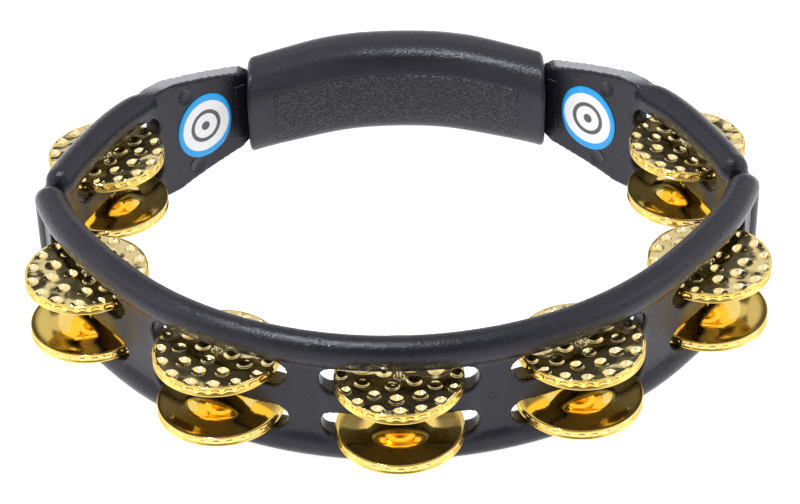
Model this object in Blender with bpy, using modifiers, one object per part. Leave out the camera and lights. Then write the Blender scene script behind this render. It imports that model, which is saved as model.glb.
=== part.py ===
"""Hand-held ring tambourine: two moulded plastic arcs that meet at side posts, seven stations of
paired brass jingles on steel pins, a two-part grip and two round labels.

Metres, +Z up. The ring lies flat: its front is at -Y, its grip at +Y and its rims' flats at Z = 0.
"""

import math

import bmesh
import bpy
from mathutils import Matrix, Vector

# Ring: the front and the rear are arcs that meet at the side posts, where they flare out a little.
FRONT_RADIUS = 0.1270
FRONT_CENTRE_Y = 0.02845
FRONT_PINS_OUT = 0.0010  # the front's pins stand this far outside the rims' centre lines
FRONT_FLARE = 0.0050
FRONT_FLARE_START = 50
FRONT_FLARE_END = 82
FRONT_END = 78.3
REAR_RADIUS = 0.1255
REAR_CENTRE_Y = -0.0166
REAR_FLAT = 0.0021  # how far the rear arc is drawn in between the grip's middle and the stations
REAR_FLARE = 0.0023
REAR_FLARE_START = 66
REAR_FLARE_END = 84
REAR_END = 81.6
RIM_RADIUS = 0.0061
RIM_SIDES_TILT = math.radians(15)  # puts a flat of the twelve-sided rim underneath
RIM_HEIGHT = 0.0198  # from the ring's mid plane to a rim's centre line
MID_Z = RIM_HEIGHT + RIM_RADIUS * math.cos(RIM_SIDES_TILT)
WEB_HALF_THICKNESS = 0.0032
PAD_HALF_THICKNESS = 0.0044
PAD_HALF_LENGTH = 0.022
PAD_BLEND = 0.007
GAP = 0.0003  # between pieces that touch

# Stations: a station is one pin through two slots, with a jingle in each.
FRONT_STATIONS = {"front_left_outer": -60, "front_left": -29.2, "front_centre": 0, "front_right": 29.2,
                  "front_right_outer": 60}
REAR_STATIONS = {"rear_left": -63, "rear_right": 63}
SLOT_HALF_WIDTH = 0.0272
SLOT_HALF_HEIGHT = 0.0052
SLOT_CENTRE = 0.00935  # from the mid plane to a slot's centre
SLOT_SIDES = 18
PIN_RADIUS = 0.00085
PIN_HALF_LENGTH = 0.0177
PIN_HOLE_RADIUS = 0.0010
PIN_SIDES = 10

# Jingle: a flat dimpled side and a belled side, pressed from sheet and joined at the edge.
JINGLE_RADIUS = 0.02225
JINGLE_EDGE = 0.0037
JINGLE_SHEET = 0.0006
JINGLE_BELL_RADIUS = 0.0106
JINGLE_BELL_HEIGHT = 0.0030
JINGLE_HOLE_RADIUS = 0.0023
JINGLE_STEPS = 24

# Rear arc: rims up to the bare walls, which taper down to the grip.
REAR_RIM_END = 50
BARE_HALF_THICKNESS = 0.00335
BARE_HALF_HEIGHT = 0.0248
BARE_HALF_HEIGHT_AT_GRIP = 0.0166
BARE_KNEE = 46.5
BARE_CORNER = 0.0022
BARE_CORNER_END = 30.7
CORE_HALF_THICKNESS = 0.0025
CORE_HALF_HEIGHT = 0.0120
POST_RADIUS = 0.0055
POST_HALF_HEIGHT = 0.0192
POST_X = 0.12935
POST_Y = 0.0040
JOINT_GAP = 0.0011  # between each arc's end stop and its tip

# Grip: inner and outer halves round the core.
GRIP_END = 28.8
SQUARE_END = 36  # sections near the grip stand square to X, and from here on to the arc
GRIP_INNER_THICKNESS = 0.0133
GRIP_OUTER_THICKNESS = 0.0130
GRIP_OUTER_THICKNESS_AT_END = 0.0098
GRIP_HALF_HEIGHT = 0.0196
GRIP_HALF_HEIGHT_AT_END = 0.0189
GRIP_EDGE = 0.0018
GRIP_SQUARENESS = 3.0
GRIP_PARTING_SHARE = 0.6

LABEL_RADIUS = 0.0140
LABEL_THICKNESS = 0.0004
LABEL_ANGLE = 39.6


def smooth(low, high, value):
    t = min(max((value - low) / (high - low), 0.0), 1.0)
    return t * t * (3 - 2 * t)


def mix(a, b, t):
    return a + (b - a) * t


def spread(start, end, step):
    """Evenly spaced values from start to end, about a step apart."""
    count = max(1, round(abs(end - start) / step))
    return [start + (end - start) * i / count for i in range(count + 1)]


class Arc:
    """A circle's arc in plan. Angles are degrees from the arc's middle, positive towards +X."""

    def __init__(self, centre_y, radius, side, flare, flat=0.0):
        self.centre_y = centre_y
        self.radius = radius
        self.side = side
        self.flare = flare
        self.flat = flat

    def reach(self, degrees):
        """Radius of the centre line: drawn in by the flat off the middle, and flared at the ends."""
        off_middle = smooth(6, 22, abs(degrees)) * (1 - smooth(42, 60, abs(degrees)))
        size, start, end = self.flare
        return self.radius - self.flat * off_middle + size * smooth(start, end, abs(degrees))

    def point(self, degrees, outward=0.0, z=0.0, square=0.0):
        """A point outward from the arc: along its radius, or with square 1 along Y by as thick a wall."""
        angle = math.radians(degrees)
        reach = self.reach(degrees)
        x = (reach + outward * (1 - square)) * math.sin(angle)
        across = mix(math.cos(angle), 1 / math.cos(angle), square)
        return Vector((x, self.centre_y + self.side * (reach * math.cos(angle) + outward * across), z))

    def placed(self, degrees, z=0.0):
        """Matrix with local X along the arc and local Y pointing outward."""
        along = self.side * (self.point(degrees + 0.5) - self.point(degrees - 0.5))
        turn = Matrix.Rotation(math.atan2(along.y, along.x), 4, "Z")
        return Matrix.Translation(self.point(degrees, 0, z)) @ turn

    def degrees(self, length):
        return math.degrees(length / self.radius)


FLARE = (FRONT_FLARE, FRONT_FLARE_START, FRONT_FLARE_END)
FRONT = Arc(FRONT_CENTRE_Y, FRONT_RADIUS, -1, FLARE)
FRONT_PINS = Arc(FRONT_CENTRE_Y, FRONT_RADIUS + FRONT_PINS_OUT, -1, FLARE)
REAR = Arc(REAR_CENTRE_Y, REAR_RADIUS, 1, (REAR_FLARE, REAR_FLARE_START, REAR_FLARE_END), REAR_FLAT)


def clear_scene():
    for item in list(bpy.data.objects):
        bpy.data.objects.remove(item)


def new_collection(name):
    collection = bpy.data.collections.new(name)
    bpy.context.scene.collection.children.link(collection)
    return collection


def new_material(name, colour, roughness, metallic):
    material = bpy.data.materials.new(name)
    material.use_nodes = True
    shader = material.node_tree.nodes["Principled BSDF"]
    shader.inputs["Base Color"].default_value = (*colour, 1)
    shader.inputs["Roughness"].default_value = roughness
    shader.inputs["Metallic"].default_value = metallic
    return material


clear_scene()
PARTS = new_collection("tambourine")
CUTTERS = new_collection("cutters")
FRAME_PLASTIC = new_material("frame_plastic", (0.030, 0.030, 0.033), 0.36, 0.0)
GRIP_RUBBER = new_material("grip_rubber", (0.018, 0.018, 0.020), 0.55, 0.0)
JINGLE_BRASS = new_material("jingle_brass", (0.90, 0.66, 0.22), 0.12, 1.0)
PIN_STEEL = new_material("pin_steel", (0.80, 0.70, 0.50), 0.25, 1.0)
LABEL_FACE = new_material("label_face", (0.05, 0.50, 0.80), 0.30, 0.0)


def new_object(name, mesh, material=None):
    """A visible part when it has a material, and a hidden cutter when it has none."""
    item = bpy.data.objects.new(name, mesh)
    if material:
        mesh.materials.append(material)
        PARTS.objects.link(item)
        mesh.shade_smooth()
        mesh.set_sharp_from_angle(angle=math.radians(35))
    else:
        CUTTERS.objects.link(item)
        item.hide_render = True
        item.display_type = "WIRE"
    return item


def mesh_from(name, build):
    mesh = bpy.data.meshes.new(name)
    shape = bmesh.new()
    build(shape)
    bmesh.ops.recalc_face_normals(shape, faces=shape.faces)
    shape.to_mesh(mesh)
    shape.free()
    return mesh


def sweep(name, arc, stops, section):
    """Mesh lofted along an arc through the sections at the stops.

    section(stop) gives the outline's (outward, height) points, as many at each stop.
    """

    def build(shape):
        rings = []
        for stop in stops:
            square = 1 - smooth(GRIP_END + 1, SQUARE_END, abs(stop)) if arc is REAR else 0
            outline = section(stop)
            rings.append([shape.verts.new(arc.point(stop, out, MID_Z + up, square)) for out, up in outline])
        for ring, following in zip(rings, rings[1:]):
            for i in range(len(ring)):
                j = (i + 1) % len(ring)
                shape.faces.new((ring[i], ring[j], following[j], following[i]))
        shape.faces.new(rings[0])
        shape.faces.new(rings[-1])

    return mesh_from(name, build)


def rim(name, arc, stops, height, radii):
    """Closed tube mesh along an arc, with its own radius at each stop."""
    curve = bpy.data.curves.new(name, "CURVE")
    curve.dimensions = "3D"
    curve.bevel_depth = RIM_RADIUS
    curve.bevel_resolution = 4
    curve.use_fill_caps = True
    spline = curve.splines.new("POLY")
    spline.points.add(len(stops) - 1)
    for point, stop, radius in zip(spline.points, stops, radii):
        point.co = (*arc.point(stop, 0, MID_Z + height), 1)
        point.radius = radius
        point.tilt = RIM_SIDES_TILT
    guide = bpy.data.objects.new(name + "_guide", curve)
    CUTTERS.objects.link(guide)
    evaluated = guide.evaluated_get(bpy.context.evaluated_depsgraph_get())
    mesh = bpy.data.meshes.new_from_object(evaluated)
    bpy.data.objects.remove(guide)
    welded = bmesh.new()
    welded.from_mesh(mesh)
    bmesh.ops.remove_doubles(welded, verts=welded.verts, dist=1e-6)
    bmesh.ops.recalc_face_normals(welded, faces=welded.faces)
    welded.to_mesh(mesh)
    welded.free()
    return new_object(name, mesh)


def round_end(arc, end, inward):
    """Stops and radii of a rim's hemispherical end, from its tip; inward is +1 or -1."""
    stops = []
    radii = []
    for back in (0.02, 0.12, 0.35, 0.65, 1.0):
        stops.append(end + inward * arc.degrees(back * RIM_RADIUS))
        radii.append(math.sqrt(1 - (1 - back) ** 2))
    return stops, radii


def prism(sides, radius, depth, half_width=0.0):
    """Builder of an upright prism whose outline is a circle, stretched along X to a slot."""

    def build(shape):
        made = bmesh.ops.create_cone(
            shape, cap_ends=True, segments=sides, radius1=radius, radius2=radius, depth=depth
        )["verts"]
        if half_width:
            for vert in made:
                vert.co.x += math.copysign(half_width, vert.co.x)
        return made

    return build


def add_boolean(item, operation, other):
    modifier = item.modifiers.new(other.name, "BOOLEAN")
    modifier.operation = operation
    modifier.object = other


def many(name, build, matrices):
    """One cutter mesh holding a copy of the built shape at each matrix."""

    def build_all(shape):
        for matrix in matrices:
            bmesh.ops.transform(shape, matrix=matrix, verts=build(shape))

    return new_object(name, mesh_from(name, build_all))


def cut_stations(item, arc, angles):
    """Cuts two slots and a pin hole at each of an arc's stations."""
    lie_down = Matrix.Rotation(math.radians(90), 4, "X")
    slots = [
        arc.placed(angle, MID_Z + level) @ lie_down
        for angle in angles
        for level in (SLOT_CENTRE, -SLOT_CENTRE)
    ]
    straight = SLOT_HALF_WIDTH - SLOT_HALF_HEIGHT
    slot = prism(SLOT_SIDES, SLOT_HALF_HEIGHT, 4 * RIM_RADIUS, straight)
    hole = prism(PIN_SIDES, PIN_HOLE_RADIUS, 2 * (PIN_HALF_LENGTH + GAP))
    holes = [arc.placed(angle, MID_Z) for angle in angles]
    add_boolean(item, "DIFFERENCE", many(item.name + "_pin_holes", hole, holes))
    add_boolean(item, "DIFFERENCE", many(item.name + "_slots", slot, slots))


def web_half_thickness(arc, stop, angles):
    """Web thickness at a stop: thicker in the pads round the stations."""
    nearest = min(abs(math.radians(stop - angle)) * arc.radius for angle in angles)
    pad = 1 - smooth(PAD_HALF_LENGTH, PAD_HALF_LENGTH + PAD_BLEND, nearest)
    return mix(WEB_HALF_THICKNESS, PAD_HALF_THICKNESS, pad)


def box_outline(half_thickness, half_height):
    return [(half_thickness, -half_height), (half_thickness, half_height),
            (-half_thickness, half_height), (-half_thickness, -half_height)]


def post_centre(side):
    return Vector((side * POST_X, POST_Y, MID_Z))


def make_front_frame():
    angles = FRONT_STATIONS.values()
    end = FRONT_END - FRONT.degrees(JOINT_GAP)

    def section(stop):
        return box_outline(web_half_thickness(FRONT, stop, angles), RIM_HEIGHT)

    web = sweep("front_frame", FRONT, spread(-end, end, 1.8), section)
    frame = new_object("front_frame", web, FRAME_PLASTIC)
    tip, tip_radii = round_end(FRONT, end, -1)
    middle = spread(-tip[-1], tip[-1], 3.2)[1:-1]
    stops = [-stop for stop in tip] + middle + tip[::-1]
    radii = tip_radii + [1.0] * len(middle) + tip_radii[::-1]
    for name, height in (("front_top_rim", RIM_HEIGHT), ("front_bottom_rim", -RIM_HEIGHT)):
        add_boolean(frame, "UNION", rim(name, FRONT, stops, height, radii))
    cut_stations(frame, FRONT_PINS, angles)
    room = prism(16, POST_RADIUS + GAP, 2 * (POST_HALF_HEIGHT + GAP))
    places = [Matrix.Translation(post_centre(side)) for side in (-1, 1)]
    add_boolean(frame, "DIFFERENCE", many("post_room", room, places))


def bare_half_height(angle):
    """Half height of the bare wall between a rear rim and the grip, with a cut corner at the grip."""
    rise = min((angle - GRIP_END) / (BARE_KNEE - GRIP_END), 1)
    corner_cut = BARE_CORNER * max(BARE_CORNER_END - angle, 0) / (BARE_CORNER_END - GRIP_END)
    return mix(BARE_HALF_HEIGHT_AT_GRIP, BARE_HALF_HEIGHT, rise) - corner_cut


def rear_section(stop):
    angle = abs(stop)
    if angle < GRIP_END + REAR.degrees(GAP * 0.9):
        return box_outline(CORE_HALF_THICKNESS, CORE_HALF_HEIGHT)
    if angle <= REAR_RIM_END:
        return box_outline(BARE_HALF_THICKNESS, bare_half_height(angle))
    into_rim = smooth(REAR_RIM_END, REAR_RIM_END + 5, angle)
    half_height = mix(BARE_HALF_HEIGHT, RIM_HEIGHT, into_rim)
    return box_outline(web_half_thickness(REAR, stop, REAR_STATIONS.values()), half_height)


def make_rear_frame():
    end = REAR_END - REAR.degrees(JOINT_GAP)
    shoulder = GRIP_END + REAR.degrees(GAP)
    half = spread(0, mix(GRIP_END, shoulder, 0.5), 4) + [shoulder] + spread(BARE_CORNER_END, BARE_KNEE, 3)
    half += spread(BARE_KNEE, REAR_RIM_END, 3)[1:] + spread(REAR_RIM_END, end, 1.8)[1:]
    stops = [-stop for stop in half[:0:-1]] + half
    frame = new_object("rear_frame", sweep("rear_frame", REAR, stops, rear_section), FRAME_PLASTIC)
    for side, word in ((-1, "left"), (1, "right")):
        tip, tip_radii = round_end(REAR, side * end, -side)
        taper = [side * (REAR_RIM_END + step) for step in (4.5, 2.6, 1.2, 0.2, -0.6)]
        middle = spread(tip[-1], taper[0], 3.2)[1:-1]
        radii = tip_radii + [1.0] * len(middle) + [1.0, 0.97, 0.88, 0.70, 0.35]
        for level, height in (("top", RIM_HEIGHT), ("bottom", -RIM_HEIGHT)):
            name = f"rear_{word}_{level}_rim"
            add_boolean(frame, "UNION", rim(name, REAR, tip + middle + taper, height, radii))
    cut_stations(frame, REAR, REAR_STATIONS.values())
    post = prism(16, POST_RADIUS, 2 * POST_HALF_HEIGHT)
    places = [Matrix.Translation(post_centre(side)) for side in (-1, 1)]
    add_boolean(frame, "UNION", many("side_posts", post, places))


def grip_size(stop):
    """Outer thickness, parting, inner thickness and half height of the grip, with its end's round edge."""
    share = 1 - smooth(GRIP_END * 0.45, GRIP_END, abs(stop))
    outer = mix(GRIP_OUTER_THICKNESS_AT_END, GRIP_OUTER_THICKNESS, share)
    from_end = min(math.radians(GRIP_END - abs(stop)) * REAR_RADIUS / GRIP_EDGE, 1)
    edge = GRIP_EDGE * (1 - math.sqrt(1 - (1 - from_end) ** 2))
    height = mix(GRIP_HALF_HEIGHT_AT_END, GRIP_HALF_HEIGHT, share) - edge
    return outer - edge, outer * GRIP_PARTING_SHARE, GRIP_INNER_THICKNESS - edge, height


def grip_curve(stop, parting, count, turn):
    """Points of the grip's rounded outline from the parting's top round to its bottom."""
    outer, _, inner, height = grip_size(stop)
    power = 2 / GRIP_SQUARENESS
    start = math.acos((parting / outer) ** (1 / power))
    points = []
    for i in range(count + 1):
        angle = mix(start, turn - start, i / count)
        cosine = math.cos(angle)
        thickness = outer if cosine > 0 else inner
        out = math.copysign(abs(cosine) ** power, cosine) * thickness
        up = math.copysign(abs(math.sin(angle)) ** power, math.sin(angle)) * height
        points.append((out, up))
    return points


def grip_inner_section(stop):
    parting = grip_size(stop)[1]
    slot = CORE_HALF_HEIGHT + GAP
    floor = -CORE_HALF_THICKNESS - GAP
    cavity = [(parting, -slot), (floor, -slot), (floor, slot), (parting, slot)]
    return grip_curve(stop, parting, 16, 2 * math.pi) + cavity


def grip_outer_section(stop):
    parting = grip_size(stop)[1] + GAP
    top = CORE_HALF_THICKNESS + GAP
    tongue = [(parting, -CORE_HALF_HEIGHT), (top, -CORE_HALF_HEIGHT), (top, CORE_HALF_HEIGHT),
              (parting, CORE_HALF_HEIGHT)]
    return grip_curve(stop, parting, 8, 0) + tongue


def make_grip():
    edge = REAR.degrees(GRIP_EDGE)
    half = spread(0, GRIP_END - edge, 3.2) + [GRIP_END - edge * 0.4, GRIP_END - edge * 0.08, GRIP_END]
    stops = [-stop for stop in half[:0:-1]] + half
    for name, section in (("grip_inner_half", grip_inner_section), ("grip_outer_half", grip_outer_section)):
        new_object(name, sweep(name, REAR, stops, section), GRIP_RUBBER)


def make_labels():
    face = -BARE_HALF_THICKNESS - GAP

    def section(stop):
        return [(face, -LABEL_RADIUS), (face, LABEL_RADIUS),
                (face - LABEL_THICKNESS, LABEL_RADIUS), (face - LABEL_THICKNESS, -LABEL_RADIUS)]

    reach = REAR.degrees(LABEL_RADIUS) + 1
    for side, word in ((-1, "left"), (1, "right")):
        centre = side * LABEL_ANGLE
        stops = spread(centre - reach, centre + reach, 3)
        label = new_object(f"label_{word}", sweep(f"label_{word}", REAR, stops, section), LABEL_FACE)
        lie_down = Matrix.Rotation(math.radians(90), 4, "X")
        disc = many(f"label_{word}_disc", prism(24, LABEL_RADIUS, 6 * RIM_RADIUS),
                    [REAR.placed(centre, MID_Z) @ lie_down])
        add_boolean(label, "INTERSECT", disc)


def jingle_mesh():
    """Section of a jingle, dimpled side up at height 0, turned about Z by a Screw modifier."""
    belled = -JINGLE_EDGE
    apex = belled - JINGLE_BELL_HEIGHT
    edge = 0.0005
    wall = JINGLE_RADIUS - JINGLE_SHEET
    outline = [
        (JINGLE_HOLE_RADIUS, 0),
        (JINGLE_RADIUS - edge, 0),
        (JINGLE_RADIUS, -edge),
        (JINGLE_RADIUS, belled),
        (JINGLE_BELL_RADIUS, belled + edge / 2),
        (JINGLE_HOLE_RADIUS, apex),
        (JINGLE_HOLE_RADIUS, apex + JINGLE_SHEET),
        (JINGLE_BELL_RADIUS, belled + edge / 2 + JINGLE_SHEET),
        (wall, belled + JINGLE_SHEET),
        (wall, -JINGLE_SHEET),
        (JINGLE_HOLE_RADIUS, -JINGLE_SHEET),
    ]
    mesh = bpy.data.meshes.new("jingle")
    mesh.from_pydata([(radius, 0, z) for radius, z in outline], [], [])
    mesh.edges.add(len(outline))
    for i, edge_item in enumerate(mesh.edges):
        edge_item.vertices = (i, (i + 1) % len(outline))
    mesh.materials.append(JINGLE_BRASS)
    return mesh


def make_jingle(name, mesh, location, flipped):
    item = bpy.data.objects.new(name, mesh)
    PARTS.objects.link(item)
    item.location = location
    item.rotation_euler.x = math.pi if flipped else 0
    turn = item.modifiers.new("turn", "SCREW")
    turn.steps = JINGLE_STEPS
    turn.render_steps = JINGLE_STEPS
    turn.use_merge_vertices = True
    turn.merge_threshold = 0.00001


def make_stations():
    """Pins and jingles: each jingle rests on its slot's floor, the upper one on its bell."""
    mesh = jingle_mesh()
    floor = SLOT_HALF_HEIGHT * math.cos(math.pi / SLOT_SIDES) - GAP
    upper = SLOT_CENTRE - floor + JINGLE_EDGE + JINGLE_BELL_HEIGHT
    lower = -SLOT_CENTRE - floor
    for arc, stations in ((FRONT_PINS, FRONT_STATIONS), (REAR, REAR_STATIONS)):
        for word, angle in stations.items():
            pin = mesh_from(f"pin_{word}", prism(PIN_SIDES, PIN_RADIUS, 2 * PIN_HALF_LENGTH))
            new_object(f"pin_{word}", pin, PIN_STEEL).matrix_world = arc.placed(angle, MID_Z)
            make_jingle(f"jingle_{word}_upper", mesh, arc.point(angle, 0, MID_Z + upper), False)
            make_jingle(f"jingle_{word}_lower", mesh, arc.point(angle, 0, MID_Z + lower), True)


make_front_frame()
make_rear_frame()
make_grip()
make_labels()
make_stations()
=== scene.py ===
"""Looks of the hand-held tambourine: moulded plastic arcs, a two-part grip, brass jingles with
pressed dimples on steel pins, and two round labels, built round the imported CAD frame.

Metres, +Z up. The ring lies flat: its front is at -Y, its grip at +Y and its rims' flats at Z = 0.
"""

import math
import random

import bmesh
import bpy
from mathutils import Matrix, Vector


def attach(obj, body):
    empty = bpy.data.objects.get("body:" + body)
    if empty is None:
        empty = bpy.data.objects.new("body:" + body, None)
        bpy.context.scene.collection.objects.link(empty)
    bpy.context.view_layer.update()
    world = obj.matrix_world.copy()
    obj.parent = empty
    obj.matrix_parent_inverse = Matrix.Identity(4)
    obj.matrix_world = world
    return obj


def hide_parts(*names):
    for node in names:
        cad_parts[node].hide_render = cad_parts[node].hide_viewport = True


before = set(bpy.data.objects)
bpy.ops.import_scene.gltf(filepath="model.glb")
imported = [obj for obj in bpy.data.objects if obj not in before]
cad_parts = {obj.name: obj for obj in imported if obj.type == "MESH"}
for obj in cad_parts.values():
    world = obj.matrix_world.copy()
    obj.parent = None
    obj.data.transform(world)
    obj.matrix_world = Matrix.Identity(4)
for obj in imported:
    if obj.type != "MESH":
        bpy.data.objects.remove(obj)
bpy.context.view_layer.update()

# Ring, as in the CAD part.
FRONT_RADIUS = 0.1270
FRONT_CENTRE_Y = 0.02845
FRONT_PINS_OUT = 0.0010
FRONT_FLARE = 0.0050
FRONT_FLARE_START = 50
FRONT_FLARE_END = 82
FRONT_END = 78.3
REAR_RADIUS = 0.1255
REAR_CENTRE_Y = -0.0166
REAR_FLAT = 0.0021
REAR_FLARE = 0.0023
REAR_FLARE_START = 66
REAR_FLARE_END = 84
REAR_END = 81.6
RIM_HEIGHT = 0.0198
CAD_RIM_RADIUS = 0.0061
CAD_RIM_HALF_STEP = 15
MID_Z = RIM_HEIGHT + CAD_RIM_RADIUS * math.cos(math.radians(CAD_RIM_HALF_STEP))
RIM_RADIUS = 0.00594  # round here, between the flats and the corners of the CAD's rims
WEB_HALF_THICKNESS = 0.0032
PAD_HALF_THICKNESS = 0.0044
PAD_HALF_LENGTH = 0.022
PAD_BLEND = 0.007
GAP = 0.0003
JOINT_GAP = 0.0011

# Stations
FRONT_STATIONS = {"front_left_outer": -60, "front_left": -29.2, "front_centre": 0, "front_right": 29.2,
                  "front_right_outer": 60}
REAR_STATIONS = {"rear_left": -63, "rear_right": 63}
SLOT_HALF_WIDTH = 0.0272
SLOT_HALF_HEIGHT = 0.0052
SLOT_CENTRE = 0.00935
SLOT_CUT_DEPTH = 0.024
SLOT_FLOOR = SLOT_HALF_HEIGHT * math.cos(math.pi / 18) - GAP
PIN_HALF_LENGTH = 0.0177
PIN_OUTSIDE = 0.00102
PIN_INSIDE = 0.00055

# Jingle. The profile's points are (radius, height) in millimetres, from the edge of the dimpled
# face over the rim and the bell to the hole, and back inside to the edge.
JINGLE_EDGE = 0.0037
JINGLE_BELL_HEIGHT = 0.0030
JINGLE_HOLE_RADIUS = 0.0016
FACE_RADIUS = 0.0216
FACE_FADE_RADIUS = 0.0211
DISH_DEPTH = 0.0007
INSIDE_RADIUS = 0.0205
INSIDE_HEIGHT = -0.00215
RIM_PROFILE = (
    (21.95, -0.03), (22.12, -0.09), (22.2, -0.2), (22.25, -0.38), (22.18, -0.55), (21.98, -0.7),
    (21.8, -0.82), (21.74, -1.0), (21.72, -1.2), (21.72, -1.45), (21.72, -1.7), (21.72, -1.95),
    (21.72, -2.2), (21.72, -2.45), (21.74, -2.7), (21.8, -2.9), (21.98, -3.04), (22.18, -3.16),
    (22.25, -3.35), (22.2, -3.53), (22.08, -3.65), (21.88, -3.68), (21.65, -3.62), (21.35, -3.52),
    (20.8, -3.46), (19.0, -3.44), (17.0, -3.44), (15.0, -3.44), (12.9, -3.45), (12.2, -3.54),
    (11.6, -3.78), (10.8, -4.24), (10.0, -4.68), (9.2, -5.06), (8.2, -5.46), (7.2, -5.79),
    (6.2, -6.05), (5.2, -6.26), (4.2, -6.42), (3.2, -6.54), (2.3, -6.6), (1.75, -6.6), (1.6, -6.5),
    (1.6, -6.1), (3.2, -5.8), (6.0, -4.8), (9.6, -3.6), (12.0, -3.1), (15.0, -2.9), (20.5, -2.85),
    (20.7, -2.7), (20.7, -2.3), (20.5, -2.15),
)
DIMPLE_RINGS = (  # radius of the ring, dimples in it, radius of a dimple, turn of the first
    (0.0058, 4, 0.00275, 0.4),
    (0.0130, 10, 0.0028, 0.1),
    (0.0199, 16, 0.0023, 0.0),
)
DIMPLE_DEPTH = 0.0010
DENTS = 30
DENT_DEPTH = 0.0007
DENT_HEIGHT = -0.00185
DENT_HALF_HEIGHT = 0.00095

# Rear arc
REAR_RIM_END = 50
BARE_HALF_THICKNESS = 0.00335
BARE_HALF_HEIGHT = 0.0248
BARE_HALF_HEIGHT_AT_GRIP = 0.0166
BARE_KNEE = 46.5
BARE_CORNER = 0.0022
BARE_CORNER_END = 30.7
POST_RADIUS = 0.0055
POST_HALF_HEIGHT = 0.0192
POST_X = 0.12935
POST_Y = 0.0040
NUB_FROM_END = 0.0060

# Grip
GRIP_END = 28.8
SQUARE_END = 36
CORE_HALF_THICKNESS = 0.0025
CORE_HALF_HEIGHT = 0.0120
GRIP_INNER_THICKNESS = 0.0133
GRIP_OUTER_THICKNESS = 0.0130
GRIP_OUTER_THICKNESS_AT_END = 0.0098
GRIP_HALF_HEIGHT = 0.0196
GRIP_HALF_HEIGHT_AT_END = 0.0189
GRIP_EDGE = 0.0024
GRIP_SQUARENESS = 3.0
GRIP_PARTING_SHARE = 0.6

LABEL_RADIUS = 0.0140
LABEL_THICKNESS = 0.0004
LABEL_ANGLE = 39.6

# Moulding marks
EJECTOR_MARKS = ((0.0165, 43.5), (-0.0168, 42.0))  # height from the middle, degrees along the rear arc
GATE_MARK_ANGLE = 14.2
PLATE_ANGLES = (29.4, 31.4)
PLATE_TOP = 0.0118
PLATE_BOTTOM = -0.0128

# Stage
FLOOR_DROP = 0.0002
DARK_AT_CAMERA = (0.0, -0.72, 0.69)
DARK_BEHIND = (0.0, 0.83, 0.56)
LIGHT_AIM = Vector((0, 0, 0.02))
LIGHTS = (  # name, place, size, power
    ("key_above", (-0.28, -0.12, 1.2), 0.12, 8.0),
    ("fill_left", (-1.2, -0.1, 0.8), 0.6, 1.3),
    ("fill_right", (1.2, -0.1, 0.8), 0.6, 1.3),
)
CAMERA_ANGLES = (0.393, 35.25, 1.30)  # degrees round the ring, above it, and of roll
CAMERA_DISTANCE = 0.9073
CAMERA_AIM = Vector((0, 0.00145, 0.0257))
CAMERA_LENS = 109.1
CAMERA_SHIFT = (0.0028, -0.0287)

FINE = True
FRONT_VOXEL = 0.0008 if FINE else 0.0011
REAR_VOXEL = 0.00075 if FINE else 0.001
SOFTEN_ROUNDS = 5


def smooth(low, high, value):
    t = min(max((value - low) / (high - low), 0.0), 1.0)
    return t * t * (3 - 2 * t)


def mix(a, b, t):
    return a + (b - a) * t


def spread(start, end, step):
    count = max(1, round(abs(end - start) / step))
    return [start + (end - start) * i / count for i in range(count + 1)]


class Arc:
    """A circle's arc in plan. Angles are degrees from the arc's middle, positive towards +X."""

    def __init__(self, centre_y, radius, side, flare, flat=0.0):
        self.centre_y = centre_y
        self.radius = radius
        self.side = side
        self.flare = flare
        self.flat = flat

    def reach(self, degrees):
        off_middle = smooth(6, 22, abs(degrees)) * (1 - smooth(42, 60, abs(degrees)))
        size, start, end = self.flare
        return self.radius - self.flat * off_middle + size * smooth(start, end, abs(degrees))

    def point(self, degrees, outward=0.0, z=0.0, square=0.0):
        angle = math.radians(degrees)
        reach = self.reach(degrees)
        x = (reach + outward * (1 - square)) * math.sin(angle)
        across = mix(math.cos(angle), 1 / math.cos(angle), square)
        return Vector((x, self.centre_y + self.side * (reach * math.cos(angle) + outward * across), z))

    def placed(self, degrees, z=0.0, outward=0.0):
        """Matrix with local X along the arc and local Y pointing outward."""
        along = self.side * (self.point(degrees + 0.5) - self.point(degrees - 0.5))
        turn = Matrix.Rotation(math.atan2(along.y, along.x), 4, "Z")
        return Matrix.Translation(self.point(degrees, outward, z)) @ turn

    def degrees(self, length):
        return math.degrees(length / self.radius)


FLARE = (FRONT_FLARE, FRONT_FLARE_START, FRONT_FLARE_END)
FRONT = Arc(FRONT_CENTRE_Y, FRONT_RADIUS, -1, FLARE)
FRONT_PINS = Arc(FRONT_CENTRE_Y, FRONT_RADIUS + FRONT_PINS_OUT, -1, FLARE)
REAR = Arc(REAR_CENTRE_Y, REAR_RADIUS, 1, (REAR_FLARE, REAR_FLARE_START, REAR_FLARE_END), REAR_FLAT)


# ---------------------------------------------------------------- materials


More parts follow.
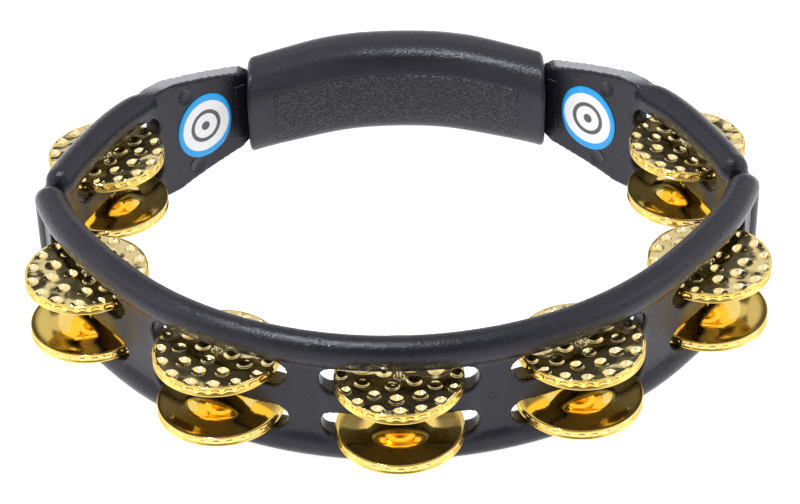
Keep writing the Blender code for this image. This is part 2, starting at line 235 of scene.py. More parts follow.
class Nodes:
    """Short way to build a material's node tree."""

    def __init__(self, name):
        self.material = bpy.data.materials.new(name)
        self.material.use_nodes = True
        self.tree = self.material.node_tree
        self.shader = self.tree.nodes["Principled BSDF"]
        self.place = self.tree.nodes.new("ShaderNodeTexCoord").outputs["Object"]

    def link(self, source, target):
        self.tree.links.new(source, target)

    def value(self, target, source):
        if hasattr(source, "links"):
            self.link(source, target)
        else:
            target.default_value = source

    def noise(self, scale, detail=2.0, roughness=0.5, place=None):
        node = self.tree.nodes.new("ShaderNodeTexNoise")
        node.inputs["Scale"].default_value = scale
        node.inputs["Detail"].default_value = detail
        node.inputs["Roughness"].default_value = roughness
        self.link(place or self.place, node.inputs["Vector"])
        return node.outputs["Fac"]

    def cells(self, scale):
        node = self.tree.nodes.new("ShaderNodeTexVoronoi")
        node.feature = "SMOOTH_F1"
        node.inputs["Scale"].default_value = scale
        self.link(self.place, node.inputs["Vector"])
        return node.outputs["Distance"]

    def scaled(self, factors):
        """The place with each axis stretched, for streaks."""
        node = self.tree.nodes.new("ShaderNodeMapping")
        node.inputs["Scale"].default_value = factors
        self.link(self.place, node.inputs["Vector"])
        return node.outputs["Vector"]

    def axis(self, letter, place=None):
        node = self.tree.nodes.new("ShaderNodeSeparateXYZ")
        self.link(place or self.place, node.inputs["Vector"])
        return node.outputs[letter]

    def math(self, operation, a, b=0.0):
        node = self.tree.nodes.new("ShaderNodeMath")
        node.operation = operation
        for target, source in zip(node.inputs, (a, b)):
            self.value(target, source)
        return node.outputs["Value"]

    def span(self, source, low, high, to_low=0.0, to_high=1.0, soft=False):
        """Maps low..high of the source to to_low..to_high, held at both ends."""
        node = self.tree.nodes.new("ShaderNodeMapRange")
        node.interpolation_type = "SMOOTHSTEP" if soft else "LINEAR"
        for name, value in (("From Min", low), ("From Max", high), ("To Min", to_low), ("To Max", to_high)):
            node.inputs[name].default_value = value
        self.link(source, node.inputs["Value"])
        return node.outputs["Result"]

    def colours(self, factor, first, second):
        node = self.tree.nodes.new("ShaderNodeMix")
        node.data_type = "RGBA"
        self.value(node.inputs["Factor"], factor)
        self.value(node.inputs[6], first if hasattr(first, "links") else (*first, 1))
        self.value(node.inputs[7], second if hasattr(second, "links") else (*second, 1))
        return node.outputs[2]

    def facing(self, letter):
        return self.axis(letter, self.tree.nodes.new("ShaderNodeNewGeometry").outputs["Normal"])

    def bump(self, height, distance, strength=1.0, after=None):
        node = self.tree.nodes.new("ShaderNodeBump")
        node.inputs["Strength"].default_value = strength
        node.inputs["Distance"].default_value = distance
        self.link(height, node.inputs["Height"])
        if after:
            self.link(after, node.inputs["Normal"])
        return node.outputs["Normal"]

    def finish(self, **inputs):
        for name, source in inputs.items():
            self.value(self.shader.inputs[name.replace("_", " ")], source)
        return self.material


def frame_plastic_material():
    """Satin black moulding: fine spark texture, flow marks, paler worn edges, and a painted highlight on the
    level faces of the rear walls.
    """
    n = Nodes("frame_plastic_look")
    fine = n.noise(1700, 3.0, 0.6)
    coarse = n.noise(60, 3.0)
    pointy = n.tree.nodes.new("ShaderNodeNewGeometry").outputs["Pointiness"]
    worn = n.math("MULTIPLY", n.span(pointy, 0.52, 0.60), n.span(n.noise(380, 4.0), 0.42, 0.62))
    base = n.colours(n.span(coarse, 0.35, 0.65), (0.0065, 0.0060, 0.0105), (0.0100, 0.0095, 0.0145))
    base = n.colours(n.math("MULTIPLY", worn, 0.4), base, (0.06, 0.06, 0.07))
    # Painted highlight: the level faces of the rear walls, tops and undersides, are painted pale grey in place
    # of the light they catch; they are also made rougher.
    level = n.span(n.math("ABSOLUTE", n.facing("Z")), 0.90, 0.97)
    painted_highlight_faces = n.math("MULTIPLY", level, n.span(n.axis("Y"), 0.060, 0.066))
    painted_highlight_grey = n.colours(n.span(fine, 0.35, 0.65), (0.20, 0.20, 0.22), (0.36, 0.36, 0.385))
    base = n.colours(painted_highlight_faces, base, painted_highlight_grey)
    rough = n.span(n.noise(900, 4.0, 0.7), 0.35, 0.65, 0.11, 0.30)
    rough = n.math("ADD", rough, n.math("MULTIPLY", painted_highlight_faces, 0.2))
    bump = n.bump(n.noise(1000, 3.0, 0.6), 0.00024, 1.0)
    bump = n.bump(coarse, 0.0004, 0.25, bump)
    return n.finish(Base_Color=base, Roughness=rough, Normal=bump, Specular_Tint=(0.88, 0.88, 1.0, 1),
                    Specular_IOR_Level=0.42)


def grip_material():
    """Satin black grip; the inner face has a grained panel with a soft edge, its grain peaks painted paler as
    painted glints.
    """
    n = Nodes("grip_rubber_look")
    x, z = n.axis("X"), n.math("SUBTRACT", n.axis("Z"), MID_Z)
    across = n.span(n.math("ABSOLUTE", x), 0.0475, 0.0495, 1, 0, soft=True)
    below = n.span(z, -0.0140, -0.0128, 0, 1, soft=True)
    above = n.span(z, 0.0082, 0.0094, 1, 0, soft=True)
    inward = n.span(n.facing("Y"), -0.45, -0.25, 1, 0)
    panel = n.math("MULTIPLY", n.math("MULTIPLY", across, inward), n.math("MULTIPLY", below, above))
    grain = n.math("ADD", n.cells(1150), n.math("MULTIPLY", n.noise(900, 3.0), 0.8))
    fine = n.noise(1100, 3.0, 0.6)
    speck = n.noise(1500, 2.0, 0.6)
    base = n.colours(n.span(n.noise(90, 3.0), 0.3, 0.7), (0.0100, 0.0095, 0.0140), (0.0140, 0.0135, 0.0185))
    # Grain with painted glints: the raised peaks of the panel's grain are painted paler grey, standing in for
    # the specks of light the grain catches.
    grain_and_glint_peaks = n.math("MULTIPLY", panel, n.span(grain, 0.75, 1.10))
    base = n.colours(grain_and_glint_peaks, base, (0.045, 0.044, 0.052))
    rough = n.colours(panel, (0.25, 0.25, 0.25), (0.36, 0.36, 0.36))
    rough = n.math("ADD", n.span(speck, 0.35, 0.65, -0.10, 0.06), n.axis("X", rough))
    bump = n.bump(fine, 0.00022, 1.0)
    bump = n.bump(n.math("MULTIPLY", grain, panel), 0.0010, 1.0, bump)
    return n.finish(Base_Color=base, Roughness=rough, Normal=bump, Specular_Tint=(0.88, 0.88, 1.0, 1),
                    Specular_IOR_Level=0.45)


def brass_material():
    """Polished lacquered brass, paler on the dimpled face and painted deeper gold on the rim and bell side as
    painted reflection, with faint waves, haze and handling marks.
    """
    n = Nodes("jingle_brass_look")
    haze = n.noise(140, 4.0)
    scuffs = n.span(n.noise(700, 4.0, 0.65, n.scaled((1.0, 6.0, 1.0))), 0.58, 0.75)
    across, along = n.axis("X"), n.axis("Y")
    radius = n.math("SQRT", n.math("ADD", n.math("MULTIPLY", across, across), n.math("MULTIPLY", along, along)))
    off_face = n.span(n.math("ABSOLUTE", n.axis("Z")), 0.0014, 0.0026)
    rim = n.math("MAXIMUM", n.span(radius, 0.0212, 0.0217), off_face)
    pale = n.colours(n.span(haze, 0.35, 0.65), (0.96, 0.76, 0.32), (0.98, 0.81, 0.42))
    # Painted reflection: the rim, its groove and the bell side are painted a deeper gold than the dimpled face,
    # standing in for brass mirrored in brass.
    gold_and_painted_reflection = n.colours(n.span(haze, 0.35, 0.65), (0.93, 0.63, 0.13), (0.96, 0.69, 0.20))
    base = n.colours(rim, pale, gold_and_painted_reflection)
    rough = n.math("ADD", n.span(haze, 0.3, 0.7, 0.045, 0.11), n.math("MULTIPLY", scuffs, 0.10))
    bump = n.bump(n.noise(420, 2.0), 0.00002, 0.35)
    wavy = n.math("MULTIPLY", n.noise(105, 1.0), n.math("SUBTRACT", 1.0, rim))
    bump = n.bump(wavy, 0.0011, 1.0, bump)
    return n.finish(Base_Color=base, Roughness=rough, Metallic=1.0, Normal=bump)


def pin_material():
    """Bright plated steel with streaks along the pin."""
    n = Nodes("pin_steel_look")
    streaks = n.noise(900, 3.0, 0.5, n.scaled((1.0, 1.0, 0.15)))
    base = n.colours(n.span(streaks, 0.3, 0.7), (0.94, 0.86, 0.68), (0.99, 0.95, 0.84))
    rough = n.span(streaks, 0.3, 0.7, 0.25, 0.40)
    return n.finish(Base_Color=base, Roughness=rough, Metallic=1.0, Normal=n.bump(streaks, 0.00003, 0.5))


def label_material(name, centre):
    """Printed vinyl: a blue border, a white field and a plain ring and dot in the middle."""
    n = Nodes(name)
    offset = n.tree.nodes.new("ShaderNodeVectorMath")
    offset.operation = "DISTANCE"
    offset.inputs[1].default_value = centre
    n.link(n.place, offset.inputs[0])
    radius = offset.outputs["Value"]
    border = n.span(radius, 0.01110, 0.01120)
    ring = n.math("MULTIPLY", n.span(radius, 0.0054, 0.0055), n.span(radius, 0.0071, 0.0072, 1, 0))
    dot = n.span(radius, 0.0019, 0.0020, 1, 0)
    mottle = n.span(n.noise(260, 3.0), 0.3, 0.7)
    white = n.colours(mottle, (0.91, 0.91, 0.94), (0.95, 0.95, 0.98))
    blue = n.colours(mottle, (0.001, 0.36, 0.88), (0.002, 0.40, 0.92))
    base = n.colours(border, white, blue)
    base = n.colours(n.math("MAXIMUM", ring, dot), base, (0.09, 0.085, 0.09))
    rough = n.span(n.noise(500, 3.0), 0.3, 0.7, 0.28, 0.36)
    return n.finish(Base_Color=base, Roughness=rough, Normal=n.bump(n.noise(1600, 2.0), 0.00002, 0.4))


FRAME_PLASTIC = frame_plastic_material()
GRIP_RUBBER = grip_material()
JINGLE_BRASS = brass_material()
PIN_STEEL = pin_material()


# ---------------------------------------------------------------- shapes


def new_object(name, mesh, material=None):
    item = bpy.data.objects.new(name, mesh)
    bpy.context.scene.collection.objects.link(item)
    if material:
        mesh.materials.clear()
        mesh.materials.append(material)
        mesh.shade_smooth()
    return item


def show(item, slot, body, *nodes):
    """The piece rides on the body and stands for the nodes; the slot is not used."""
    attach(item, body)
    if nodes:
        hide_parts(*nodes)


def mesh_from(name, build):
    mesh = bpy.data.meshes.new(name)
    shape = bmesh.new()
    build(shape)
    bmesh.ops.recalc_face_normals(shape, faces=shape.faces)
    shape.to_mesh(mesh)
    shape.free()
    return mesh


def loft(shape, rings, close=False):
    """Faces between rings of points; with close, the last ring joins the first, else both ends are capped."""
    made = [[shape.verts.new(point) for point in ring] for ring in rings]
    following = made[1:] + made[:1] if close else made[1:]
    for ring, after in zip(made, following):
        for i in range(len(ring)):
            j = (i + 1) % len(ring)
            shape.faces.new((ring[i], ring[j], after[j], after[i]))
    if not close:
        shape.faces.new(made[0])
        shape.faces.new(made[-1])


def sweep(name, arc, stops, section):
    """Mesh lofted along an arc; section(stop) gives the outline's (outward, height) points."""

    def rings():
        for stop in stops:
            square = 1 - smooth(GRIP_END + 1, SQUARE_END, abs(stop)) if arc is REAR else 0
            yield [arc.point(stop, out, MID_Z + up, square) for out, up in section(stop)]

    return mesh_from(name, lambda shape: loft(shape, list(rings())))


def bead(arc, stops, height, radii, sides=24):
    """Closed tube along an arc with its own radius at each stop."""
    rings = []
    turns = [2 * math.pi * i / sides for i in range(sides)]
    middle = MID_Z + height
    for stop, radius in zip(stops, radii):
        rings.append([arc.point(stop, radius * math.cos(a), middle + radius * math.sin(a)) for a in turns])
    return mesh_from("bead", lambda shape: loft(shape, rings))


def round_end(arc, end, inward):
    """Stops and radii of a rim's hemispherical end, from its tip; inward is +1 or -1."""
    stops = []
    radii = []
    for back in (0.01, 0.05, 0.12, 0.22, 0.35, 0.5, 0.65, 0.82, 1.0):
        stops.append(end + inward * arc.degrees(back * RIM_RADIUS))
        radii.append(RIM_RADIUS * math.sqrt(1 - (1 - back) ** 2))
    return stops, radii


def prism(sides, radius, depth, half_width=0.0):
    """Builder of an upright prism whose outline is a circle, stretched along X to a slot."""

    def build(shape):
        made = bmesh.ops.create_cone(
            shape, cap_ends=True, segments=sides, radius1=radius, radius2=radius, depth=depth
        )["verts"]
        if half_width:
            for vert in made:
                vert.co.x += math.copysign(half_width, vert.co.x)
        return made

    return build


def turned(outline, sides):
    """Builder of a solid turned about Z from (radius, height) points, on the axis at both ends."""

    def build(shape):
        angles = [2 * math.pi * i / sides for i in range(sides)]
        before = set(shape.verts)
        loft(shape, [[Vector((r * math.cos(a), r * math.sin(a), z)) for a in angles] for r, z in outline])
        return [vert for vert in shape.verts if vert not in before]

    return build


def many(name, build, matrices):
    """One mesh holding a copy of the built shape at each matrix."""

    def build_all(shape):
        for matrix in matrices:
            bmesh.ops.transform(shape, matrix=matrix, verts=build(shape))

    return mesh_from(name, build_all)


def evaluated_mesh(item, name):
    """The object's mesh with its modifiers applied; the object and its cutters are removed."""
    cutters = [modifier.object for modifier in item.modifiers if modifier.type == "BOOLEAN"]
    mesh = bpy.data.meshes.new_from_object(item.evaluated_get(bpy.context.evaluated_depsgraph_get()))
    mesh.name = name
    for spent in [item] + cutters:
        bpy.data.objects.remove(spent)
    return mesh


def combine(name, mesh, operations):
    """Mesh after a list of (operation, other mesh) booleans."""
    item = new_object(name, mesh)
    for operation, other in operations:
        modifier = item.modifiers.new(operation, "BOOLEAN")
        modifier.operation = operation
        modifier.object = new_object("cutter", other)
    return evaluated_mesh(item, name)


def moulded(name, mesh, voxel):
    """The mesh with its hard edges and inside corners softened, as a moulding's are."""
    item = new_object(name, mesh)
    remesh = item.modifiers.new("remesh", "REMESH")
    remesh.mode = "VOXEL"
    remesh.voxel_size = voxel
    soften = item.modifiers.new("soften", "SMOOTH")
    soften.factor = 0.5
    soften.iterations = SOFTEN_ROUNDS
    return evaluated_mesh(item, name)


def station_cuts(arc, angles):
    """The two slots of every station, one above the other."""
    lie_down = Matrix.Rotation(math.radians(90), 4, "X")
    places = [
        arc.placed(angle, MID_Z + level) @ lie_down
        for angle in angles
        for level in (SLOT_CENTRE, -SLOT_CENTRE)
    ]
    slot = prism(48, SLOT_HALF_HEIGHT, SLOT_CUT_DEPTH, SLOT_HALF_WIDTH - SLOT_HALF_HEIGHT)
    return [("DIFFERENCE", many("slots", slot, places))]


def web_half_thickness(arc, stop, angles):
    nearest = min(abs(math.radians(stop - angle)) * arc.radius for angle in angles)
    pad = 1 - smooth(PAD_HALF_LENGTH, PAD_HALF_LENGTH + PAD_BLEND, nearest)
    return mix(WEB_HALF_THICKNESS, PAD_HALF_THICKNESS, pad)


def box_outline(half_thickness, half_height):
    return [(half_thickness, -half_height), (half_thickness, half_height),
            (-half_thickness, half_height), (-half_thickness, -half_height)]


def post_centre(side):
    return Vector((side * POST_X, POST_Y, MID_Z))


def make_front_frame():
    angles = FRONT_STATIONS.values()
    end = FRONT_END - FRONT.degrees(JOINT_GAP)
    web = sweep("front_web", FRONT, spread(-end, end, 0.8),
                lambda stop: box_outline(web_half_thickness(FRONT, stop, angles), RIM_HEIGHT))
    tip, tip_radii = round_end(FRONT, end, -1)
    middle = spread(-tip[-1], tip[-1], 1.2)[1:-1]
    stops = [-stop for stop in tip] + middle + tip[::-1]
    radii = tip_radii + [RIM_RADIUS] * len(middle) + tip_radii[::-1]
    steps = [("UNION", bead(FRONT, stops, height, radii)) for height in (RIM_HEIGHT, -RIM_HEIGHT)]
    room = prism(40, POST_RADIUS + GAP, 2 * (POST_HALF_HEIGHT + GAP))
    places = [Matrix.Translation(post_centre(side)) for side in (-1, 1)]
    steps += station_cuts(FRONT_PINS, angles) + [("DIFFERENCE", many("post_room", room, places))]
    mesh = moulded("front_moulding", combine("front_solid", web, steps), FRONT_VOXEL)
    item = new_object("front_moulding", mesh, FRAME_PLASTIC)
    show(item, "frame_plastic", "frame", "front_frame")


def bare_half_height(angle):
    rise = min((angle - GRIP_END) / (BARE_KNEE - GRIP_END), 1)
    corner_cut = BARE_CORNER * max(BARE_CORNER_END - angle, 0) / (BARE_CORNER_END - GRIP_END)
    return mix(BARE_HALF_HEIGHT_AT_GRIP, BARE_HALF_HEIGHT, rise) - corner_cut


def rear_section(stop):
    angle = abs(stop)
    if angle < GRIP_END + REAR.degrees(GAP * 0.9):
        return box_outline(CORE_HALF_THICKNESS, CORE_HALF_HEIGHT)
    if angle <= REAR_RIM_END:
        return box_outline(BARE_HALF_THICKNESS, bare_half_height(angle))
    into_rim = smooth(REAR_RIM_END, REAR_RIM_END + 5, angle)
    half_height = mix(BARE_HALF_HEIGHT, RIM_HEIGHT, into_rim)
    return box_outline(web_half_thickness(REAR, stop, REAR_STATIONS.values()), half_height)


def dome(radius, half_height, cap):
    """Outline of a post with rounded ends, (radius, height) from bottom to top."""
    top = [(radius * math.cos(a), half_height - cap + cap * math.sin(a))
           for a in [math.radians(d) for d in (0, 15, 30, 45, 60, 72, 82, 89.5)]]
    return [(r, -z) for r, z in top[::-1]] + top


def make_rear_frame():
    end = REAR_END - REAR.degrees(JOINT_GAP)
    shoulder = GRIP_END + REAR.degrees(GAP)
    half = spread(0, mix(GRIP_END, shoulder, 0.5), 2) + [shoulder] + spread(BARE_CORNER_END, BARE_KNEE, 1.2)
    half += spread(BARE_KNEE, REAR_RIM_END, 1.2)[1:] + spread(REAR_RIM_END, end, 0.8)[1:]
    stops = [-stop for stop in half[:0:-1]] + half
    steps = []
    for side in (-1, 1):
        tip, tip_radii = round_end(REAR, side * end, -side)
        taper = [side * (REAR_RIM_END + step) for step in (5.2, 4.4, 3.4, 2.4, 1.4, 0.6, 0.0, -0.5)]
        middle = spread(tip[-1], taper[0], 1.2)[1:-1]
        ends = [RIM_RADIUS * share for share in (1.0, 0.99, 0.95, 0.89, 0.80, 0.68, 0.50, 0.28)]
        radii = tip_radii + [RIM_RADIUS] * len(middle) + ends
        for height in (RIM_HEIGHT, -RIM_HEIGHT):
            steps.append(("UNION", bead(REAR, tip + middle + taper, height, radii)))
    steps += station_cuts(REAR, REAR_STATIONS.values())
    post = turned(dome(POST_RADIUS - 0.0001, POST_HALF_HEIGHT, 0.0042), 40)
    places = [Matrix.Translation(post_centre(side)) for side in (-1, 1)]
    steps.append(("UNION", many("side_posts", post, places)))
    nub = turned(dome(0.0015, 0.0010, 0.0009), 20)
    spots = [Matrix.Translation(REAR.point(side * (end - REAR.degrees(NUB_FROM_END)), 0.0004,
                                           MID_Z + level * (RIM_HEIGHT + RIM_RADIUS - 0.0008)))
             for side in (-1, 1) for level in (-1, 1)]
    steps.append(("UNION", many("nubs", nub, spots)))
    solid = combine("rear_solid", sweep("rear_web", REAR, stops, rear_section), steps)
    item = new_object("rear_moulding", moulded("rear_moulding", solid, REAR_VOXEL), FRAME_PLASTIC)
    show(item, "frame_plastic", "frame", "rear_frame")


# ---------------------------------------------------------------- grip


def grip_size(stop):
    share = 1 - smooth(GRIP_END * 0.45, GRIP_END, abs(stop))
    outer = mix(GRIP_OUTER_THICKNESS_AT_END, GRIP_OUTER_THICKNESS, share)
    from_end = min(math.radians(GRIP_END - abs(stop)) * REAR_RADIUS / GRIP_EDGE, 1)
    edge = GRIP_EDGE * (1 - math.sqrt(max(1 - (1 - from_end) ** 2, 0)))
    height = mix(GRIP_HALF_HEIGHT_AT_END, GRIP_HALF_HEIGHT, share) - edge
    return outer - edge, outer * GRIP_PARTING_SHARE, GRIP_INNER_THICKNESS - edge, height


def panel_depth(stop, up):
    """How far the grained panel is sunk into the grip's inner face."""
    x = abs(REAR.point(stop, -GRIP_INNER_THICKNESS, 0, 1).x)
    inside = (1 - smooth(0.0480, 0.0500, x)) * smooth(-0.0142, -0.0130, up) * (1 - smooth(0.0084, 0.0098, up))
    return 0.00022 * inside


def grip_curve(stop, parting, count, turn):
    outer, _, inner, height = grip_size(stop)
    power = 2 / GRIP_SQUARENESS
    start = math.acos((parting / outer) ** (1 / power))
    points = []
    for i in range(count + 1):
        angle = mix(start, turn - start, i / count)
        cosine = math.cos(angle)
        thickness = outer if cosine > 0 else inner
        out = math.copysign(abs(cosine) ** power, cosine) * thickness
        up = math.copysign(abs(math.sin(angle)) ** power, math.sin(angle)) * height
        if cosine < -0.2:
            out += panel_depth(stop, up)
        points.append((out, up))
    return points


def grip_inner_section(stop):
    parting = grip_size(stop)[1]
    slot = CORE_HALF_HEIGHT + GAP
    floor = -CORE_HALF_THICKNESS - GAP
    cavity = [(parting, -slot), (floor, -slot), (floor, slot), (parting, slot)]
    return grip_curve(stop, parting, 120 if FINE else 72, 2 * math.pi) + cavity


def grip_outer_section(stop):
    parting = grip_size(stop)[1] + GAP
    top = CORE_HALF_THICKNESS + GAP
    tongue = [(parting, -CORE_HALF_HEIGHT), (top, -CORE_HALF_HEIGHT), (top, CORE_HALF_HEIGHT),
              (parting, CORE_HALF_HEIGHT)]
    return grip_curve(stop, parting, 40, 0) + tongue


def make_grip():
    edge = REAR.degrees(GRIP_EDGE)
    rounding = [GRIP_END - edge * share for share in (0.8, 0.62, 0.46, 0.32, 0.20, 0.11, 0.05, 0.015, 0)]
    half = spread(0, GRIP_END - edge, 0.5 if FINE else 0.9) + rounding
    stops = [-stop for stop in half[:0:-1]] + half
    for name, section in (("grip_inner", grip_inner_section), ("grip_outer", grip_outer_section)):
        item = new_object(name, sweep(name, REAR, stops, section), GRIP_RUBBER)
        item.data.set_sharp_from_angle(angle=math.radians(50))
        show(item, "grip_rubber", "frame", name + "_half")


# ---------------------------------------------------------------- labels and moulding marks


def make_labels():
    """Thin discs bent to the wall, with a soft edge."""
    face = -BARE_HALF_THICKNESS - 0.00004
    for side, word in ((-1, "left"), (1, "right")):
        centre_angle = side * LABEL_ANGLE
        rings = [0.0002, 0.003, 0.006, 0.009, 0.0115, 0.0130, LABEL_RADIUS - 0.0002, LABEL_RADIUS, LABEL_RADIUS]
        lift = [LABEL_THICKNESS] * 7 + [LABEL_THICKNESS - 0.00015, 0]
        sides = 96

        def build(shape, centre_angle=centre_angle, rings=rings, lift=lift):
            made = []
            for radius, up in zip(rings, lift):
                ring = []
                for i in range(sides):
                    turn = 2 * math.pi * i / sides
                    stop = centre_angle + REAR.degrees(radius * math.cos(turn))
                    square = 1 - smooth(GRIP_END + 1, SQUARE_END, abs(stop))
                    ring.append(REAR.point(stop, face - up, MID_Z + radius * math.sin(turn), square))
                made.append(ring)
            loft(shape, made)

        mesh = mesh_from(f"label_{word}_disc", build)
        middle = REAR.point(centre_angle, face - LABEL_THICKNESS, MID_Z)
        item = new_object(f"label_{word}_disc", mesh, label_material(f"label_{word}_look", middle))
        mesh.set_sharp_from_angle(angle=math.radians(50))
        show(item, "label_face", "frame", f"label_{word}")


def wall_matrix(angle, z, arc, outward):
    """Matrix on an arc's inner or outer face with local X along the arc and local Z out of the face."""
    flip = -1 if outward < 0 else 1
    return arc.placed(angle, MID_Z + z, outward) @ Matrix.Rotation(math.radians(-90 * flip), 4, "X")


def make_marks():
    """Ejector marks and blank raised plates on the rear walls, and the gate mark on the front web."""
    marks = []
    ring = [(0.00005, 0.0001), (0.0031, 0.0001), (0.00325, 0.00022), (0.0036, 0.00022), (0.00375, -0.0002),
            (0.00005, -0.0002)]
    for side in (-1, 1):
        for z, angle in EJECTOR_MARKS:
            marks.append(wall_matrix(side * angle, z, REAR, -BARE_HALF_THICKNESS))
    mesh = many("ejector_marks", turned(ring, 40), marks)
    item = new_object("ejector_marks", mesh, FRAME_PLASTIC)
    mesh.set_sharp_from_angle(angle=math.radians(40))
    show(item, "frame_plastic", "frame")
    gate = [(0.00005, -0.0001), (0.0008, -0.00012), (0.0010, 0.0002), (0.0013, 0.00025), (0.0015, 0.0001),
            (0.0016, -0.0003), (0.00005, -0.0003)]
    place = wall_matrix(GATE_MARK_ANGLE, 0.0, FRONT, WEB_HALF_THICKNESS)
    item = new_object("gate_mark", many("gate_mark", turned(gate, 32), [place]), FRAME_PLASTIC)
    item.data.set_sharp_from_angle(angle=math.radians(40))
    show(item, "frame_plastic", "frame")
    item = new_object("blank_plates", mesh_from("blank_plates", build_plates), FRAME_PLASTIC)
    item.data.set_sharp_from_angle(angle=math.radians(40))
    show(item, "frame_plastic", "frame")


def build_plates(shape):
    """Plain raised plates on the inner walls beside the grip, where the real one has moulded text."""
    layers = ((0.0, 0.0003), (0.0, -0.00012), (0.00012, -0.00022), (0.0004, -0.00022))
    for side in (-1, 1):
        rings = []
        for inset, out in layers:
            low = PLATE_ANGLES[0] + REAR.degrees(inset)
            high = PLATE_ANGLES[1] - REAR.degrees(inset)
            top, bottom = PLATE_TOP - inset, inset + PLATE_BOTTOM
            outline = [(low, bottom), (high, bottom), (high, top), (low, top)]
            face = out - BARE_HALF_THICKNESS
            rings.append([REAR.point(side * stop, face, MID_Z + up, 1) for stop, up in outline])
        loft(shape, rings)


# ---------------------------------------------------------------- jingles


def jingle_rings(steps):
    """(radius, height, kind) round the jingle's section, from the hole over the dimpled face and back."""
    radii = [mix(JINGLE_HOLE_RADIUS, FACE_RADIUS, i / steps) for i in range(steps + 1)]
    rings = [(radius, DISH_DEPTH * ((radius / FACE_RADIUS) ** 2 - 1), "face") for radius in radii]
    for radius, z in RIM_PROFILE:
        kind = "groove" if 21.5 < radius < 21.9 and -2.95 < z < -0.8 else "plain"
        rings.append((radius / 1000, z / 1000, kind))
    inner = [(mix(INSIDE_RADIUS, JINGLE_HOLE_RADIUS, i / 12), INSIDE_HEIGHT, "plain") for i in range(1, 13)]
    return rings + inner


def jingle_dimples():
    """(x, y, reach) of the dimples pressed into the flat face: three rings of them."""
    spots = random.Random(7)
    dimples = []
    for radius, count, reach, start in DIMPLE_RINGS:
        for i in range(count):
            turn = 2 * math.pi * (i + spots.uniform(-0.06, 0.06)) / count + start
            out = radius + spots.uniform(-0.0003, 0.0003)
            dimples.append((out * math.cos(turn), out * math.sin(turn), reach * spots.uniform(0.95, 1.05)))
    return dimples


def pressed(x, y, z, radius, kind, dimples):
    """(radius, height) change of a point of the jingle's surface."""
    if kind == "groove":
        along = smooth(0.15, 0.9, abs(math.sin(math.atan2(y, x) * DENTS / 2)))
        across = max(0.0, 1 - ((z - DENT_HEIGHT) / DENT_HALF_HEIGHT) ** 2)
        return -DENT_DEPTH * along * across, 0.0
    if kind != "face":
        return 0.0, 0.0
    sunk = 0.0
    for dx, dy, reach in dimples:
        away = math.hypot(x - dx, y - dy) / reach
        if away < 1:
            sunk = max(sunk, (1 - away**2) * (1 - smooth(0.78, 1.0, away)))
    fade = 1 - smooth(FACE_FADE_RADIUS, FACE_RADIUS, radius)
    return 0.0, -DIMPLE_DEPTH * sunk * fade


def jingle_mesh():
    around = 288 if FINE else 168
    rings = jingle_rings(54 if FINE else 34)
    dimples = jingle_dimples()

    def build(shape):
        made = []
        for radius, z, kind in rings:
            ring = []
            for i in range(around):
                turn = 2 * math.pi * i / around
                x, y = radius * math.cos(turn), radius * math.sin(turn)
                wider, lower = pressed(x, y, z, radius, kind, dimples)
                scale = 1 + wider / radius
                ring.append((x * scale, y * scale, z + lower))
            made.append(ring)
        loft(shape, made, close=True)

    return mesh_from("jingle", build)


def pin_mesh():
    """A rolled spring pin: a tube with a slit along it."""
    outline = []
    for radius, angles in ((PIN_OUTSIDE, range(12, 349, 16)), (PIN_INSIDE, range(348, 11, -16))):
        outline += [(radius * math.cos(math.radians(a)), radius * math.sin(math.radians(a))) for a in angles]

    def build(shape):
        heights = [(-PIN_HALF_LENGTH, 0.85), (0.0003 - PIN_HALF_LENGTH, 1), (PIN_HALF_LENGTH - 0.0003, 1),
                   (PIN_HALF_LENGTH, 0.85)]
        loft(shape, [[(x * wide, y * wide, z) for x, y in outline] for z, wide in heights])

    return mesh_from("rolled_pin", build)


def make_stations():
    """The jingles, dimpled faces outward and bells towards each other, and the pins."""
    dimpled = jingle_mesh()
    rolled = pin_mesh()
    turns = random.Random(3)
    upper = SLOT_CENTRE - SLOT_FLOOR + JINGLE_EDGE + JINGLE_BELL_HEIGHT
    lower = -SLOT_CENTRE - SLOT_FLOOR
    for arc, stations in ((FRONT_PINS, FRONT_STATIONS), (REAR, REAR_STATIONS)):
        for word, angle in stations.items():
            for level, height, flip in (("upper", upper, 0), ("lower", lower, math.pi)):
                mesh = dimpled.copy()
                turn = Matrix.Rotation(turns.uniform(0, 2 * math.pi), 4, "Z")
                mesh.transform(Matrix.Rotation(flip, 4, "X") @ turn)
                item = new_object(f"brass_{word}_{level}", mesh, JINGLE_BRASS)
                item.location = arc.point(angle, 0, MID_Z + height)
                show(item, "jingle_brass", f"jingle_{word}_{level}", f"jingle_{word}_{level}")
            pin = new_object(f"rolled_pin_{word}", rolled.copy(), PIN_STEEL)
            pin.data.set_sharp_from_angle(angle=math.radians(40))
            pin.matrix_world = arc.placed(angle, MID_Z) @ Matrix.Rotation(math.radians(90), 4, "Z")
            show(pin, "pin_steel", f"pin_{word}", f"pin_{word}")


# ---------------------------------------------------------------- stage


def make_floor():
    mesh = mesh_from("floor", lambda shape: bmesh.ops.create_grid(shape, x_segments=1, y_segments=1, size=4.0))
    n = Nodes("floor_look")
    grey, white = (0.40, 0.40, 0.40, 1), (1, 1, 1, 1)
    n.finish(Base_Color=grey, Roughness=0.85, Emission_Color=white, Emission_Strength=0.93)
    floor = new_object("floor", mesh, n.material)
    floor.location.z = -FLOOR_DROP


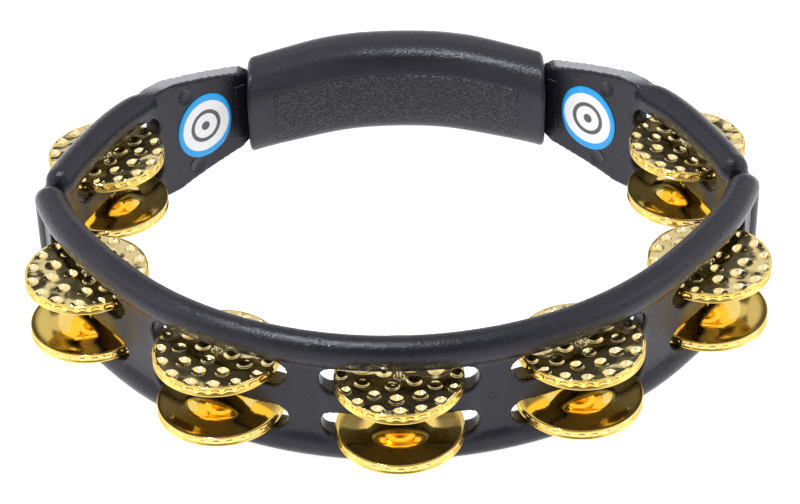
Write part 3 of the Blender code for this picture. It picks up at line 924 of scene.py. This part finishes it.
def sky_zone(tree, direction, stops):
    """Grey levels of the sky by the cosine of the angle from a direction; stops are (cosine, colour)."""
    angle = tree.nodes.new("ShaderNodeVectorMath")
    angle.operation = "DOT_PRODUCT"
    angle.inputs[1].default_value = Vector(direction).normalized()
    tree.links.new(tree.nodes.new("ShaderNodeTexCoord").outputs["Generated"], angle.inputs[0])
    ramp = tree.nodes.new("ShaderNodeValToRGB")
    elements = ramp.color_ramp.elements
    for element, (cosine, colour) in zip(elements, stops[:2]):
        element.position = cosine
        element.color = (*colour, 1)
    for cosine, colour in stops[2:]:
        elements.new(cosine).color = (*colour, 1)
    tree.links.new(angle.outputs["Value"], ramp.inputs["Fac"])
    return ramp.outputs["Color"]


def make_world():
    """White studio all round, darker at the camera and in a gap high up behind the ring."""
    world = bpy.data.worlds.new("studio")
    bpy.context.scene.world = world
    world.use_nodes = True
    tree = world.node_tree
    at_camera = sky_zone(tree, DARK_AT_CAMERA, ((0.80, (1, 1, 1)), (0.93, (0.25, 0.25, 0.28))))
    grey, dark = (0.74, 0.74, 0.78), (0.05, 0.05, 0.055)
    behind = sky_zone(tree, DARK_BEHIND, ((0.88, (1, 1, 1)), (0.95, grey), (0.990, grey), (0.996, dark)))
    both = tree.nodes.new("ShaderNodeMix")
    both.data_type = "RGBA"
    both.blend_type = "MULTIPLY"
    both.inputs["Factor"].default_value = 1.0
    tree.links.new(at_camera, both.inputs[6])
    tree.links.new(behind, both.inputs[7])
    back = tree.nodes["Background"]
    tree.links.new(both.outputs[2], back.inputs["Color"])
    back.inputs["Strength"].default_value = 1.0


def softbox(name, place, size, power):
    """Square area light aimed at the ring's middle."""
    data = bpy.data.lights.new(name, "AREA")
    data.shape = "RECTANGLE"
    data.size = size
    data.size_y = size
    data.energy = power
    item = bpy.data.objects.new(name, data)
    bpy.context.scene.collection.objects.link(item)
    item.location = place
    item.rotation_euler = (LIGHT_AIM - Vector(place)).to_track_quat("-Z", "Y").to_euler()


def make_camera():
    """Camera at the photo's angle, in front of the ring and above it, with a slight roll."""
    turn, tilt, roll = (math.radians(degrees) for degrees in CAMERA_ANGLES)
    right = Vector((math.cos(turn), math.sin(turn), 0))
    ahead = Vector((-math.sin(turn) * math.cos(tilt), math.cos(turn) * math.cos(tilt), -math.sin(tilt)))
    up = right.cross(ahead)
    across = math.cos(roll) * right - math.sin(roll) * up
    upward = math.sin(roll) * right + math.cos(roll) * up
    data = bpy.data.cameras.new("camera")
    data.lens = CAMERA_LENS
    data.sensor_width = 36
    data.shift_x, data.shift_y = CAMERA_SHIFT
    data.clip_start = 0.01
    camera = bpy.data.objects.new("camera", data)
    bpy.context.scene.collection.objects.link(camera)
    turned_to = Matrix((across, upward, -ahead)).transposed().to_4x4()
    camera.matrix_world = Matrix.Translation(CAMERA_AIM - ahead * CAMERA_DISTANCE) @ turned_to
    bpy.context.scene.camera = camera


make_front_frame()
make_rear_frame()
make_grip()
make_labels()
make_marks()
make_stations()
make_floor()
make_world()
for light in LIGHTS:
    softbox(*light)
make_camera()
bpy.context.scene.view_settings.view_transform = "Standard"
